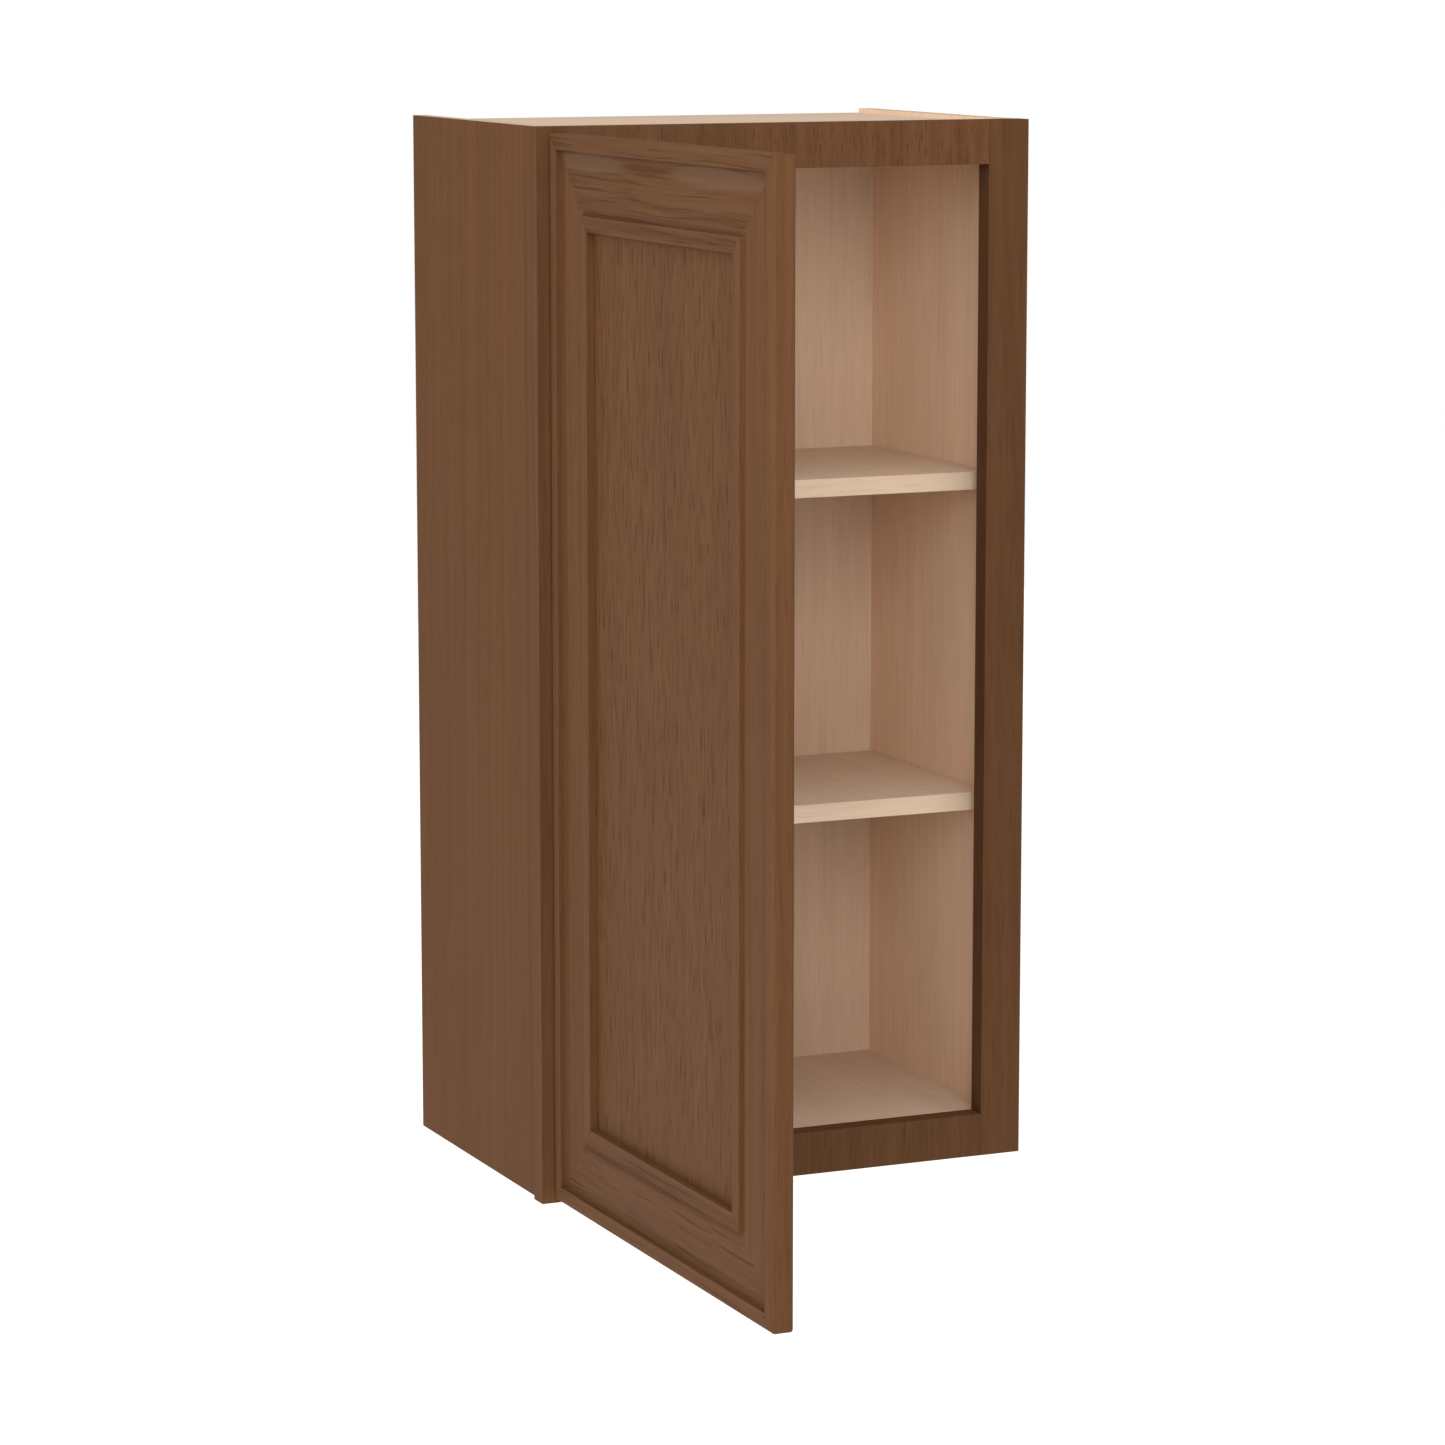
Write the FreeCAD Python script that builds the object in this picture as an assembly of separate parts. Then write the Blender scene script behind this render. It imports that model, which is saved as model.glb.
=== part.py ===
import FreeCAD, Part
import math
import os

# Hanging wall cabinet with one left-hung door, a face frame and two loose shelves.
# Lengths are millimetres. Drawing space: X to the right from the left edge of the face frame,
# Y to the rear from the front of the face frame, Z up from the underside of the cabinet.
# The finished pieces are moved to the part's own frame: origin on the wall plane, in the middle
# of the width and height, at the centre of the two hanging holes.

inch = 25.4

# case
caseWidth = 18 * inch
caseHeight = 36 * inch
caseDepth = 12 * inch
frameBar = 1.5 * inch
frameThick = 0.75 * inch
dowelRadius = 4.0
dowelLength = 40.0
dowelPlaces = (0.3, 0.7)
panelThick = 0.5 * inch
sideInset = 3 / 16 * inch
skinThick = 0.6
dadoDepth = 4.0
topDrop = 3.8
floorHeight = 36.9
railThick = 0.75 * inch
railHeight = 3 * inch
hangSpacing = 31 * inch
hangRadius = 2.5

# shelves
shelfThick = 0.625 * inch
shelfTops = {"lower_shelf": 322.1, "upper_shelf": 607.1}
shelfFront = 34.0
shelfRearGap = 1.5
shelfSideGap = 0.8
bandThick = 1.0
pinRadius = 2.5
pinDepth = 8.0
paddleReach = 8.0
paddleWide = 5.0
paddleHigh = 5.0
notchPlay = 1.0
pinInset = 38.0

# door
reveal = 3 / 16 * inch
doorWidth = caseWidth - 2 * reveal
doorHeight = caseHeight - 2 * reveal
doorThick = 0.75 * inch
doorBackX = 28.4
doorEdgeY = -5.0
doorBar = 77.8
edgeRound = 3.0
# moulded face of a door bar, from the lip to the bead: distance from the bar's outer edge, and
# depth below its front face
facePoints = [(13.6, 0), (13.6, 5.2), (19, 5.2), (27, 4.0), (50, 4.0), (53.5, 3.1), (57, 3.1),
              (62.5, 4.4), (64.3, 4.4), (64.9, 0.9), (doorBar, 0.9)]
panelDrop = 8.0
doorPanelThick = 6.0
grooveDepth = 11.0
panelTongue = 7.5
spacerLong = 9.0
spacerPlaces = (0.25, 0.75)
splineThick = 3.0
splineDrop = 11.5
splineAcross = 26.0
splineAlong = 32.0
splinePlace = 0.45
bumperRadius = 4.75
bumperThick = 2.1
bumperInset = 18.0

# hinges: the door hangs on two of them
hingeFromEnd = 90.0
cupRadius = 17.5
cupDepth = 12.0
cupWall = 1.0
cupFromEdge = 23.5
flangeThick = 0.8
flangeRim = 1.5
wingFromCup = 9.5
wingHalfSpan = 22.5
wingRadius = 5.5
lugHalf = 2.2
armPivot = (40.6, -4.173)
rearPivot = (42.0, 1.8)
doorPivot = (14.0, 4.0)
outerReach = 26.849
outerAngle = -138.473
# the links are bent: share of the way from the arm, and how far the bend stands off, then half width
innerElbow = (0.6, 4.0)
outerElbow = (0.7, 7.0)
innerLinkHalf = 1.25
outerLinkHalf = 1.0
hingePinRadius = 1.0
pinPlay = 0.05
innerHalf = 3.0
cheekGap = 0.3
cheekThick = 1.2
armEye = 1.9
rearEye = 2.3
armPlate = 1.2
armPlateHalf = 23.0
armPlateMargin = 1.0
armWebThick = 1.0
armWebFront = 5.0
armCheekFront = 3.0
armCheekRear = 16.0
armRearEyeY = 14.0
armScrewSpan = 15.0
armScrewPlace = 0.55
screwHead = 3.4
screwShank = 1.75
armScrewHead = 1.6
armScrewLong = 16.0
cupScrewHead = 0.7
cupScrewLong = 11.0

originShift = FreeCAD.Vector(-caseWidth / 2, -caseDepth, -caseHeight / 2)
upward = FreeCAD.Vector(0, 0, 1)
innerLeft = sideInset + panelThick
innerRight = caseWidth - innerLeft
railFront = caseDepth - railThick
backFront = railFront - panelThick
topUnder = caseHeight - topDrop - panelThick
hangHeights = [caseHeight / 2 - hangSpacing / 2, caseHeight / 2 + hangSpacing / 2]
doorLow = reveal
hingeHeights = {"lower": doorLow + hingeFromEnd, "upper": doorLow + doorHeight - hingeFromEnd}


def vec(x, y, z=0.0):
    return FreeCAD.Vector(x, y, z)


def block(x0, x1, y0, y1, z0, z1):
    return Part.makeBox(x1 - x0, y1 - y0, z1 - z0, vec(x0, y0, z0))


def rod(radius, length, start, along):
    return Part.makeCylinder(radius, length, start, along)


def joined(shapes):
    whole = shapes[0]
    for shape in shapes[1:]:
        whole = whole.fuse(shape)
    return whole.removeSplitter()


def without(shape, tools):
    for tool in tools:
        shape = shape.cut(tool)
    return shape


def save(name, pieces):
    # one named piece, or a group of equal pieces that stay separate solids
    solids = []
    for piece in pieces:
        moved = piece.copy()
        moved.translate(originShift)
        solids += moved.Solids
    shape = solids[0] if len(solids) == 1 else Part.makeCompound(solids)
    shape.exportStep("parts/" + name + ".step")
    print(name, len(solids), "solid(s)", round(shape.Volume / 1000.0, 1), "cm3")


# ---- face frame -------------------------------------------------------------------------------

def frameDowels():
    dowels = []
    for joint in (frameBar, caseWidth - frameBar):
        for barLow in (0.0, caseHeight - frameBar):
            for place in dowelPlaces:
                start = vec(joint - dowelLength / 2, frameThick / 2, barLow + frameBar * place)
                dowels.append(rod(dowelRadius, dowelLength, start, vec(1, 0)))
    return dowels


def makeFaceFrame(armScrewHoles):
    dowels = frameDowels()
    left = block(0, frameBar, 0, frameThick, 0, caseHeight)
    right = block(caseWidth - frameBar, caseWidth, 0, frameThick, 0, caseHeight)
    top = block(frameBar, caseWidth - frameBar, 0, frameThick, caseHeight - frameBar, caseHeight)
    bottom = block(frameBar, caseWidth - frameBar, 0, frameThick, 0, frameBar)
    save("frame_stile_left", [without(left, dowels + armScrewHoles)])
    save("frame_stile_right", [without(right, dowels)])
    save("frame_rail_top", [without(top, dowels)])
    save("frame_rail_bottom", [without(bottom, dowels)])
    save("frame_dowels", dowels)


# ---- case -------------------------------------------------------------------------------------

def shelfPins(shelfTop):
    # a round shank in the side panel and a flat paddle that the shelf sits on
    paddleTop = shelfTop - shelfThick + paddleHigh
    pins = []
    for wall, way in ((innerLeft, 1), (innerRight, -1)):
        for y in (shelfFront + pinInset, backFront - shelfRearGap - pinInset):
            centre = vec(wall - way * pinDepth, y, paddleTop - paddleHigh / 2)
            shank = rod(pinRadius, pinDepth, centre, vec(way, 0))
            end = wall + way * paddleReach
            paddle = block(min(wall, end), max(wall, end), y - paddleWide / 2, y + paddleWide / 2,
                           paddleTop - paddleHigh, paddleTop)
            pins.append(joined([shank, paddle]))
    return pins


def makeSides(pins):
    dadoTop = block(innerLeft - dadoDepth, innerRight + dadoDepth, frameThick, caseDepth,
                    topUnder, topUnder + panelThick)
    dadoFloor = block(innerLeft - dadoDepth, innerRight + dadoDepth, frameThick, caseDepth,
                      floorHeight - panelThick, floorHeight)
    for name, x0, x1, skin in (("left", sideInset, innerLeft, sideInset),
                               ("right", innerRight, caseWidth - sideInset,
                                caseWidth - sideInset - skinThick)):
        panel = block(x0, x1, frameThick, caseDepth, 0, caseHeight)
        veneer = block(skin, skin + skinThick, frameThick, caseDepth, 0, caseHeight)
        save("side_panel_" + name, [without(panel, [veneer, dadoTop, dadoFloor] + pins)])
        save("side_skin_" + name, [veneer])
    save("top_panel", [dadoTop])
    save("bottom_panel", [dadoFloor])


def makeBack():
    hangHoles = [rod(hangRadius, caseDepth, vec(caseWidth / 2, frameThick, z), vec(0, 1))
                 for z in hangHeights]
    back = block(innerLeft, innerRight, backFront, railFront, floorHeight, topUnder)
    save("back_panel", [without(back, hangHoles)])
    for name, z in (("lower", floorHeight), ("upper", topUnder - railHeight)):
        rail = block(innerLeft, innerRight, railFront, caseDepth, z, z + railHeight)
        save("hang_rail_" + name, [without(rail, hangHoles)])


def makeShelf(name, shelfTop):
    left = innerLeft + shelfSideGap
    right = innerRight - shelfSideGap
    rear = backFront - shelfRearGap
    board = block(left, right, shelfFront + bandThick, rear, shelfTop - shelfThick, shelfTop)
    notches = []
    notchLong = paddleReach + notchPlay
    for x0 in (innerLeft, innerRight - notchLong):
        for y in (shelfFront + pinInset, backFront - shelfRearGap - pinInset):
            half = paddleWide / 2 + notchPlay
            notches.append(block(x0, x0 + notchLong, y - half, y + half,
                                 shelfTop - shelfThick, shelfTop - shelfThick + paddleHigh))
    band = block(left, right, shelfFront, shelfFront + bandThick, shelfTop - shelfThick, shelfTop)
    save(name, [without(board, notches)])
    save(name + "_edge_band", [band])


# ---- door -------------------------------------------------------------------------------------
# The door is drawn closed: X along its width from the hinged edge, Y = -(distance from its back),
# Z up from its lower edge. Then it is turned a quarter turn to stand open.

def hangDoor(shape):
    hung = shape.copy()
    hung.rotate(vec(0, 0), upward, -90)
    hung.translate(vec(doorBackX, doorEdgeY, doorLow))
    return hung


def barProfile():
    # across one bar of the door frame: s from the outer edge, h down from the front face
    r = edgeRound
    k = r * (1 - math.sqrt(0.5))
    t = doorThick
    grooveStart = doorBar - grooveDepth

    def at(s, h):
        return vec(s, h - t)

    edges = [Part.Arc(at(0, r), at(k, k), at(r, 0)).toShape()]
    grooveEnd = panelDrop + doorPanelThick
    front = [(r, 0)] + facePoints
    front += [(doorBar, panelDrop), (grooveStart, panelDrop), (grooveStart, grooveEnd),
              (doorBar, grooveEnd), (doorBar, t), (r, t)]
    for a, b in zip(front, front[1:]):
        edges.append(Part.makeLine(at(*a), at(*b)))
    edges.append(Part.Arc(at(r, t), at(k, t - k), at(0, t - r)).toShape())
    edges.append(Part.makeLine(at(0, t - r), at(0, r)))
    return Part.Face(Part.Wire(edges))


def mitredBar(length):
    # a bar that lies along Z, with both ends cut at 45 degrees towards its inner edge
    bar = barProfile().extrude(vec(0, 0, length))
    over = 2.0
    reach = doorBar + over
    wedges = []
    for outer, way in ((0.0, 1), (length, -1)):
        corners = [vec(0, -doorThick - over, outer), vec(reach, -doorThick - over, outer + way * reach),
                   vec(reach, -doorThick - over, outer - way * over),
                   vec(0, -doorThick - over, outer - way * over)]
        wedge = Part.Face(Part.makePolygon(corners + corners[:1]))
        wedges.append(wedge.extrude(vec(0, doorThick + 2 * over, 0)))
    return without(bar, wedges)


def laidAcross(bar, low):
    # a bar turned to lie along the door's width: low rail, or high rail upside down
    turned = bar.copy()
    turned.rotate(vec(0, 0), vec(0, 1), 90)
    if low:
        turned = turned.mirror(vec(0, 0), vec(0, 0, 1))
        return turned
    turned.translate(vec(0, 0, doorHeight))
    return turned


def mitreSplines():
    splines = []
    middle = doorBar * splinePlace
    for x, wayX in ((0.0, 1), (doorWidth, -1)):
        for z, wayZ in ((0.0, 1), (doorHeight, -1)):
            tongue = block(-splineAlong / 2, splineAlong / 2, -doorThick + splineDrop,
                           -doorThick + splineDrop + splineThick, -splineAcross / 2, splineAcross / 2)
            tongue.rotate(vec(0, 0), vec(0, 1), -45 * wayX * wayZ)
            tongue.translate(vec(x + wayX * middle, 0, z + wayZ * middle))
            splines.append(tongue)
    return splines


def panelSpacers():
    # soft blocks in the groove that keep the floating panel centred
    low = doorBar - grooveDepth
    high = doorBar - panelTongue
    y0 = -doorThick + panelDrop
    y1 = y0 + doorPanelThick
    spacers = []
    for place in spacerPlaces:
        z = doorHeight * place
        x = doorWidth * place
        half = spacerLong / 2
        for a, b in ((low, high), (doorWidth - high, doorWidth - low)):
            spacers.append(block(a, b, y0, y1, z - half, z + half))
        for a, b in ((low, high), (doorHeight - high, doorHeight - low)):
            spacers.append(block(x - half, x + half, y0, y1, a, b))
    return spacers


def cupBore(z):
    return rod(cupRadius, cupDepth, vec(cupFromEdge, -cupDepth, z), vec(0, 1))


def cupScrews(z):
    screws = []
    for way in (-1, 1):
        place = vec(cupFromEdge + wingFromCup, 0, z + way * wingHalfSpan)
        head = rod(screwHead, cupScrewHead, place + vec(0, flangeThick), vec(0, 1))
        tip = place - vec(0, cupScrewLong)
        shank = rod(screwShank, cupScrewLong + flangeThick, tip, vec(0, 1))
        screws.append(joined([head, shank]))
    return screws


def hingeCup(z):
    # pressed cup with a winged flange, and two lugs inside that hold the pivot pin
    middle = vec(cupFromEdge, 0, z)
    body = rod(cupRadius, cupDepth, middle - vec(0, cupDepth), vec(0, 1))
    flange = rod(cupRadius + flangeRim, flangeThick, middle, vec(0, 1))
    wings = []
    for way in (-1, 1):
        tip = vec(cupFromEdge + wingFromCup, 0, z + way * wingHalfSpan)
        wings.append(rod(wingRadius, flangeThick, tip, vec(0, 1)))
    span = block(cupFromEdge + wingFromCup - wingRadius, cupFromEdge + wingFromCup + wingRadius,
                 0, flangeThick, z - wingHalfSpan, z + wingHalfSpan)
    hollow = rod(cupRadius - cupWall, cupDepth - cupWall + flangeThick,
                 middle - vec(0, cupDepth - cupWall), vec(0, 1))
    shell = joined([body, flange, span] + wings).cut(hollow)
    lugs = []
    for way in (-1, 1):
        near = way * (innerHalf + cheekGap)
        far = near + way * cheekThick
        lug = block(doorPivot[0] - lugHalf, doorPivot[0] + lugHalf, -cupDepth + cupWall, -doorPivot[1],
                    z + min(near, far), z + max(near, far))
        eye = rod(lugHalf, cheekThick, vec(doorPivot[0], -doorPivot[1], z + min(near, far)), upward)
        lugs.append(joined([lug, eye]))
    cup = joined([shell] + lugs)
    return without(cup, cupScrews(z) + [hingePin(doorPivot[0], -doorPivot[1], z)])


def hingePin(x, y, z, half=None):
    half = innerHalf + cheekGap + cheekThick if half is None else half
    return rod(hingePinRadius, 2 * half, vec(x, y, z - half), upward)


def makeDoor():
    hingeZ = [z - doorLow for z in hingeHeights.values()]
    splines = mitreSplines()
    stile = mitredBar(doorHeight)
    farStile = stile.mirror(vec(doorWidth / 2, 0), vec(1, 0, 0))
    rail = mitredBar(doorWidth)
    bores = [cupBore(z) for z in hingeZ]
    screws = [screw for z in hingeZ for screw in cupScrews(z)]
    save("door_stile_hinged", [hangDoor(without(stile, splines + bores + screws))])
    save("door_stile_free", [hangDoor(without(farStile, splines))])
    save("door_rail_top", [hangDoor(without(laidAcross(rail, False), splines))])
    save("door_rail_bottom", [hangDoor(without(laidAcross(rail, True), splines))])
    save("door_mitre_splines", [hangDoor(spline) for spline in splines])
    edge = doorBar - panelTongue
    panel = block(edge, doorWidth - edge, -doorThick + panelDrop,
                  -doorThick + panelDrop + doorPanelThick, edge, doorHeight - edge)
    save("door_panel", [hangDoor(panel)])
    save("door_panel_spacers", [hangDoor(spacer) for spacer in panelSpacers()])
    bumpers = [rod(bumperRadius, bumperThick, vec(doorWidth - bumperInset, 0, z), vec(0, 1))
               for z in (bumperInset, doorHeight - bumperInset)]
    save("door_bumpers", [hangDoor(bumper) for bumper in bumpers])
    for name, height in hingeHeights.items():
        save("hinge_cup_" + name, [hangDoor(hingeCup(height - doorLow))])
    save("hinge_cup_screws", [hangDoor(screw) for screw in screws])
    save("hinge_cup_pins", [hangDoor(hingePin(doorPivot[0], -doorPivot[1], z)) for z in hingeZ])


# ---- hinge arms and links ---------------------------------------------------------------------

def capsule(a, b, half, z0, z1):
    # a flat strip with round ends from a to b
    along = vec(b[0] - a[0], b[1] - a[1])
    side = vec(-along.y, along.x).normalize() * half
    corners = [vec(*a) + side, vec(*b) + side, vec(*b) - side, vec(*a) - side]
    strip = Part.Face(Part.makePolygon(corners + corners[:1])).extrude(vec(0, 0, z1 - z0))
    strip.translate(vec(0, 0, z0))
    ends = [rod(half, z1 - z0, vec(p[0], p[1], z0), upward) for p in (a, b)]
    return joined([strip] + ends)


def elbow(start, end, place):
    share, offset = place
    along = vec(end[0] - start[0], end[1] - start[1])
    side = vec(-along.y, along.x).normalize() * offset
    point = vec(*start) + along * share + side
    return (point.x, point.y)


def pivotOnDoor():
    return (doorBackX - doorPivot[1], doorEdgeY - doorPivot[0])


def innerLink(z):
    end = pivotOnDoor()
    bend = elbow(armPivot, end, innerElbow)
    z0 = z - innerHalf
    z1 = z + innerHalf
    strips = [capsule(armPivot, bend, innerLinkHalf, z0, z1), capsule(bend, end, innerLinkHalf, z0, z1)]
    eyes = [rod(armEye, z1 - z0, vec(armPivot[0], armPivot[1], z0), upward),
            rod(armEye, z1 - z0, vec(end[0], end[1], z0), upward)]
    holes = [rod(hingePinRadius + pinPlay, z1 - z0, vec(p[0], p[1], z0), upward)
             for p in (armPivot, end)]
    return without(joined(strips + eyes), holes)


def outerLink(z):
    turn = math.radians(outerAngle)
    end = (rearPivot[0] + outerReach * math.cos(turn), rearPivot[1] + outerReach * math.sin(turn))
    bend = elbow(rearPivot, end, outerElbow)
    near = innerHalf + 2 * cheekGap + cheekThick
    cheeks = []
    for way in (-1, 1):
        z0 = z + min(way * near, way * (near + cheekThick))
        z1 = z0 + cheekThick
        cheek = joined([capsule(rearPivot, bend, outerLinkHalf, z0, z1),
                        capsule(bend, end, outerLinkHalf, z0, z1),
                        rod(armEye, cheekThick, vec(rearPivot[0], rearPivot[1], z0), upward)])
        hole = rod(hingePinRadius + pinPlay, cheekThick, vec(rearPivot[0], rearPivot[1], z0), upward)
        cheeks.append(cheek.cut(hole))
    return cheeks


def armScrews(z):
    screws = []
    for way in (-1, 1):
        seat = vec(frameBar + armPlate, frameThick * armScrewPlace, z + way * armScrewSpan)
        head = rod(screwHead, armScrewHead, seat, vec(1, 0))
        tip = seat - vec(armScrewLong + armPlate, 0)
        shank = rod(screwShank, armScrewLong + armPlate, tip, vec(1, 0))
        screws.append(joined([head, shank]))
    return screws


def armPins(z):
    rearHalf = innerHalf + 2 * (cheekGap + cheekThick) + cheekGap
    return [hingePin(armPivot[0], armPivot[1], z), hingePin(rearPivot[0], rearPivot[1], z, rearHalf)]


def hingeArm(z):
    # plate on the inner edge of the stile, with two cheeks that reach forward of the face frame
    plate = block(frameBar, frameBar + armPlate, armPlateMargin, frameThick - armPlateMargin,
                  z - armPlateHalf, z + armPlateHalf)
    outer = innerHalf + cheekGap + cheekThick
    web = block(frameBar + armPlate, frameBar + armPlate + armWebThick, armWebFront, armCheekRear,
                z - outer, z + outer)
    rear = (rearPivot[0], armRearEyeY)
    cheeks = []
    for way in (-1, 1):
        near = way * (innerHalf + cheekGap)
        z0 = z + min(near, near + way * cheekThick)
        z1 = z0 + cheekThick
        cheeks += [capsule(armPivot, rearPivot, armEye, z0, z1),
                   capsule(rearPivot, rear, rearEye, z0, z1),
                   block(frameBar + armPlate, rearPivot[0], armCheekFront, armCheekRear, z0, z1)]
    return without(joined([plate, web] + cheeks), armScrews(z) + armPins(z))


def makeHinges():
    heights = list(hingeHeights.values())
    for name, z in hingeHeights.items():
        save("hinge_arm_" + name, [hingeArm(z)])
        save("hinge_inner_link_" + name, [innerLink(z)])
        save("hinge_outer_link_" + name, outerLink(z))
    save("hinge_arm_screws", [screw for z in heights for screw in armScrews(z)])
    save("hinge_arm_pins", [pin for z in heights for pin in armPins(z)])


os.makedirs("parts", exist_ok=True)
pins = {name: shelfPins(top) for name, top in shelfTops.items()}
makeFaceFrame([screw for z in hingeHeights.values() for screw in armScrews(z)])
makeSides([pin for group in pins.values() for pin in group])
makeBack()
for name, top in shelfTops.items():
    makeShelf(name, top)
    save(name + "_pins", pins[name])
makeDoor()
makeHinges()
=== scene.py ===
import math

import bpy
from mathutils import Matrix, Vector


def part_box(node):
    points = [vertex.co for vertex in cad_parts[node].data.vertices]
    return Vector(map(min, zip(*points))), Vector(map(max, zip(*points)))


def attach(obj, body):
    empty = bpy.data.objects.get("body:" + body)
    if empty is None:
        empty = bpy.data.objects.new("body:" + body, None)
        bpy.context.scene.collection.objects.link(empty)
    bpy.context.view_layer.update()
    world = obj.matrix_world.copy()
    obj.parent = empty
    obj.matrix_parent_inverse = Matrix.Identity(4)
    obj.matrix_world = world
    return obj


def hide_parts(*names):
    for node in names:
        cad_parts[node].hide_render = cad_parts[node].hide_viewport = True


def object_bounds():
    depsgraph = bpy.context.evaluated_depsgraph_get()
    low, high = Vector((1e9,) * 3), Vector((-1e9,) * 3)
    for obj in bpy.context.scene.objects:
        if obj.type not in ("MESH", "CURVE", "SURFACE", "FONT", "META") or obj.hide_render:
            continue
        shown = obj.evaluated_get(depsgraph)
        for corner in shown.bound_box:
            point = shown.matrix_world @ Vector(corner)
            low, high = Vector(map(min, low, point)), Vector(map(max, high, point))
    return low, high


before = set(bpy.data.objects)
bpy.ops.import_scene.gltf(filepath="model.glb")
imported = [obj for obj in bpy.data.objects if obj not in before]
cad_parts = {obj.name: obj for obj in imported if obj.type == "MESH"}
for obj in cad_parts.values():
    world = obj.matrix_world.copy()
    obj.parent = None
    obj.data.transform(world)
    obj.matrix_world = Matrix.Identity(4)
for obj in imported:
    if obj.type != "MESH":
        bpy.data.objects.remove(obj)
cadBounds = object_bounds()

# Wall cabinet, in metres. Each piece stands where its CAD piece stands.
mm = 0.001
# how faces are told apart, how copies are welded and flattened, and how edges are eased and shaded
meshWork = {"facing": 0.9, "weld": 0.002 * mm, "flat": 0.8, "easeSteps": 2, "easeAngle": 30,
            "smoothAngle": 32, "faceWeight": 80}


# working helpers

def deselect():
    if bpy.context.object and bpy.context.object.mode != "OBJECT":
        bpy.ops.object.mode_set(mode="OBJECT")
    bpy.ops.object.select_all(action="DESELECT")


def pick(*objs):
    deselect()
    for obj in objs:
        obj.select_set(True)
    bpy.context.view_layer.objects.active = objs[-1]


def rename(obj, name):
    obj.name = name
    obj.data.name = name
    return obj


def settle(obj):
    # place, turn and size all go into the mesh
    pick(obj)
    bpy.ops.object.transform_apply(location=True, rotation=True, scale=True)


def chooseFaces(obj, test):
    # leaves the object in edit mode with only these faces selected
    pick(obj)
    bpy.ops.object.mode_set(mode="EDIT")
    bpy.ops.mesh.select_mode(type="FACE")
    bpy.ops.mesh.select_all(action="DESELECT")
    bpy.ops.object.mode_set(mode="OBJECT")
    for face in obj.data.polygons:
        face.select = test(face)
    bpy.ops.object.mode_set(mode="EDIT")


def facesRight(face):
    return face.normal.x > meshWork["facing"]


def facesLeft(face):
    return face.normal.x < -meshWork["facing"]


def applied(obj, kind, **settings):
    pick(obj)
    step = obj.modifiers.new(kind.lower(), kind)
    for key, value in settings.items():
        setattr(step, key, value)
    bpy.ops.object.modifier_apply(modifier=step.name)


def easeEdges(obj, width, segments=meshWork["easeSteps"], angle=meshWork["easeAngle"]):
    applied(obj, "BEVEL", width=width, segments=segments, limit_method="ANGLE",
            angle_limit=math.radians(angle), use_clamp_overlap=True)


def smoothBy(obj, angle=meshWork["smoothAngle"]):
    # the big faces stay flat in the shading, only the eased edges roll
    pick(obj)
    bpy.ops.object.shade_smooth_by_angle(angle=math.radians(angle))
    applied(obj, "WEIGHTED_NORMAL", keep_sharp=True, weight=meshWork["faceWeight"])


def remove(obj):
    pick(obj)
    bpy.ops.object.delete()


def cutAway(obj, cutters):
    for cutter in cutters:
        applied(obj, "BOOLEAN", object=cutter, operation="DIFFERENCE", solver="EXACT")
        remove(cutter)


def copyOf(obj):
    pick(obj)
    bpy.ops.object.duplicate()
    return bpy.context.object


def cadCopy(node, name):
    # the CAD piece's own shape as one welded mesh with whole flat faces
    board = rename(copyOf(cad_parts[node]), name)
    board.parent = None
    for key in list(board.keys()):
        del board[key]
    bpy.ops.object.mode_set(mode="EDIT")
    bpy.ops.mesh.select_all(action="SELECT")
    bpy.ops.mesh.remove_doubles(threshold=meshWork["weld"])
    bpy.ops.mesh.customdata_custom_splitnormals_clear()
    bpy.ops.mesh.dissolve_limited(angle_limit=math.radians(meshWork["flat"]))
    bpy.ops.object.mode_set(mode="OBJECT")
    return board


def joined(objs, name):
    pick(*objs)
    bpy.ops.object.join()
    return rename(bpy.context.object, name)


def paint(obj, material):
    obj.data.materials.clear()
    obj.data.materials.append(material)


def finishPiece(obj, body, node, material):
    paint(obj, material)
    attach(obj, body)
    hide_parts(node)


def dress(node, material):
    # a CAD piece whose shape is right only gets its finish
    paint(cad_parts[node], material)


# shader helpers

nodeGrid = {"rows": 3, "left": -2400, "top": 300, "wide": 170, "tall": 240}
noiseMiddle = (0.3, 0.7)  # most of a noise lies between these


def addNode(tree, kind, inputs=None, **settings):
    # inputs: socket name or number, and a value or the output that feeds it
    node = tree.nodes.new("ShaderNode" + kind)
    column, row = divmod(len(tree.nodes), nodeGrid["rows"])
    across = nodeGrid["left"] + nodeGrid["wide"] * column
    node.location = (across, nodeGrid["top"] - nodeGrid["tall"] * row)
    for key, value in settings.items():
        setattr(node, key, value)
    for key, value in (inputs or {}).items():
        if isinstance(value, bpy.types.NodeSocket):
            tree.links.new(value, node.inputs[key])
        else:
            node.inputs[key].default_value = value
    return node


def newMaterial(name):
    material = bpy.data.materials.new(name)
    material.use_nodes = True
    tree = material.node_tree
    return material, tree, tree.nodes["Principled BSDF"]


def stretched(tree, vector, scale, place=(0, 0, 0)):
    return addNode(tree, "Mapping", {"Vector": vector, "Scale": scale, "Location": place}).outputs[0]


def noise(tree, vector, detail=2.0, roughness=0.5, output="Fac"):
    return addNode(tree, "TexNoise", {"Vector": vector, "Scale": 1.0, "Detail": detail,
                                      "Roughness": roughness}).outputs[output]


def calc(tree, operation, *values):
    return addNode(tree, "Math", dict(enumerate(values)), operation=operation).outputs[0]


def vectorCalc(tree, operation, *values, output="Vector"):
    return addNode(tree, "VectorMath", dict(enumerate(values)), operation=operation).outputs[output]


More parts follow.
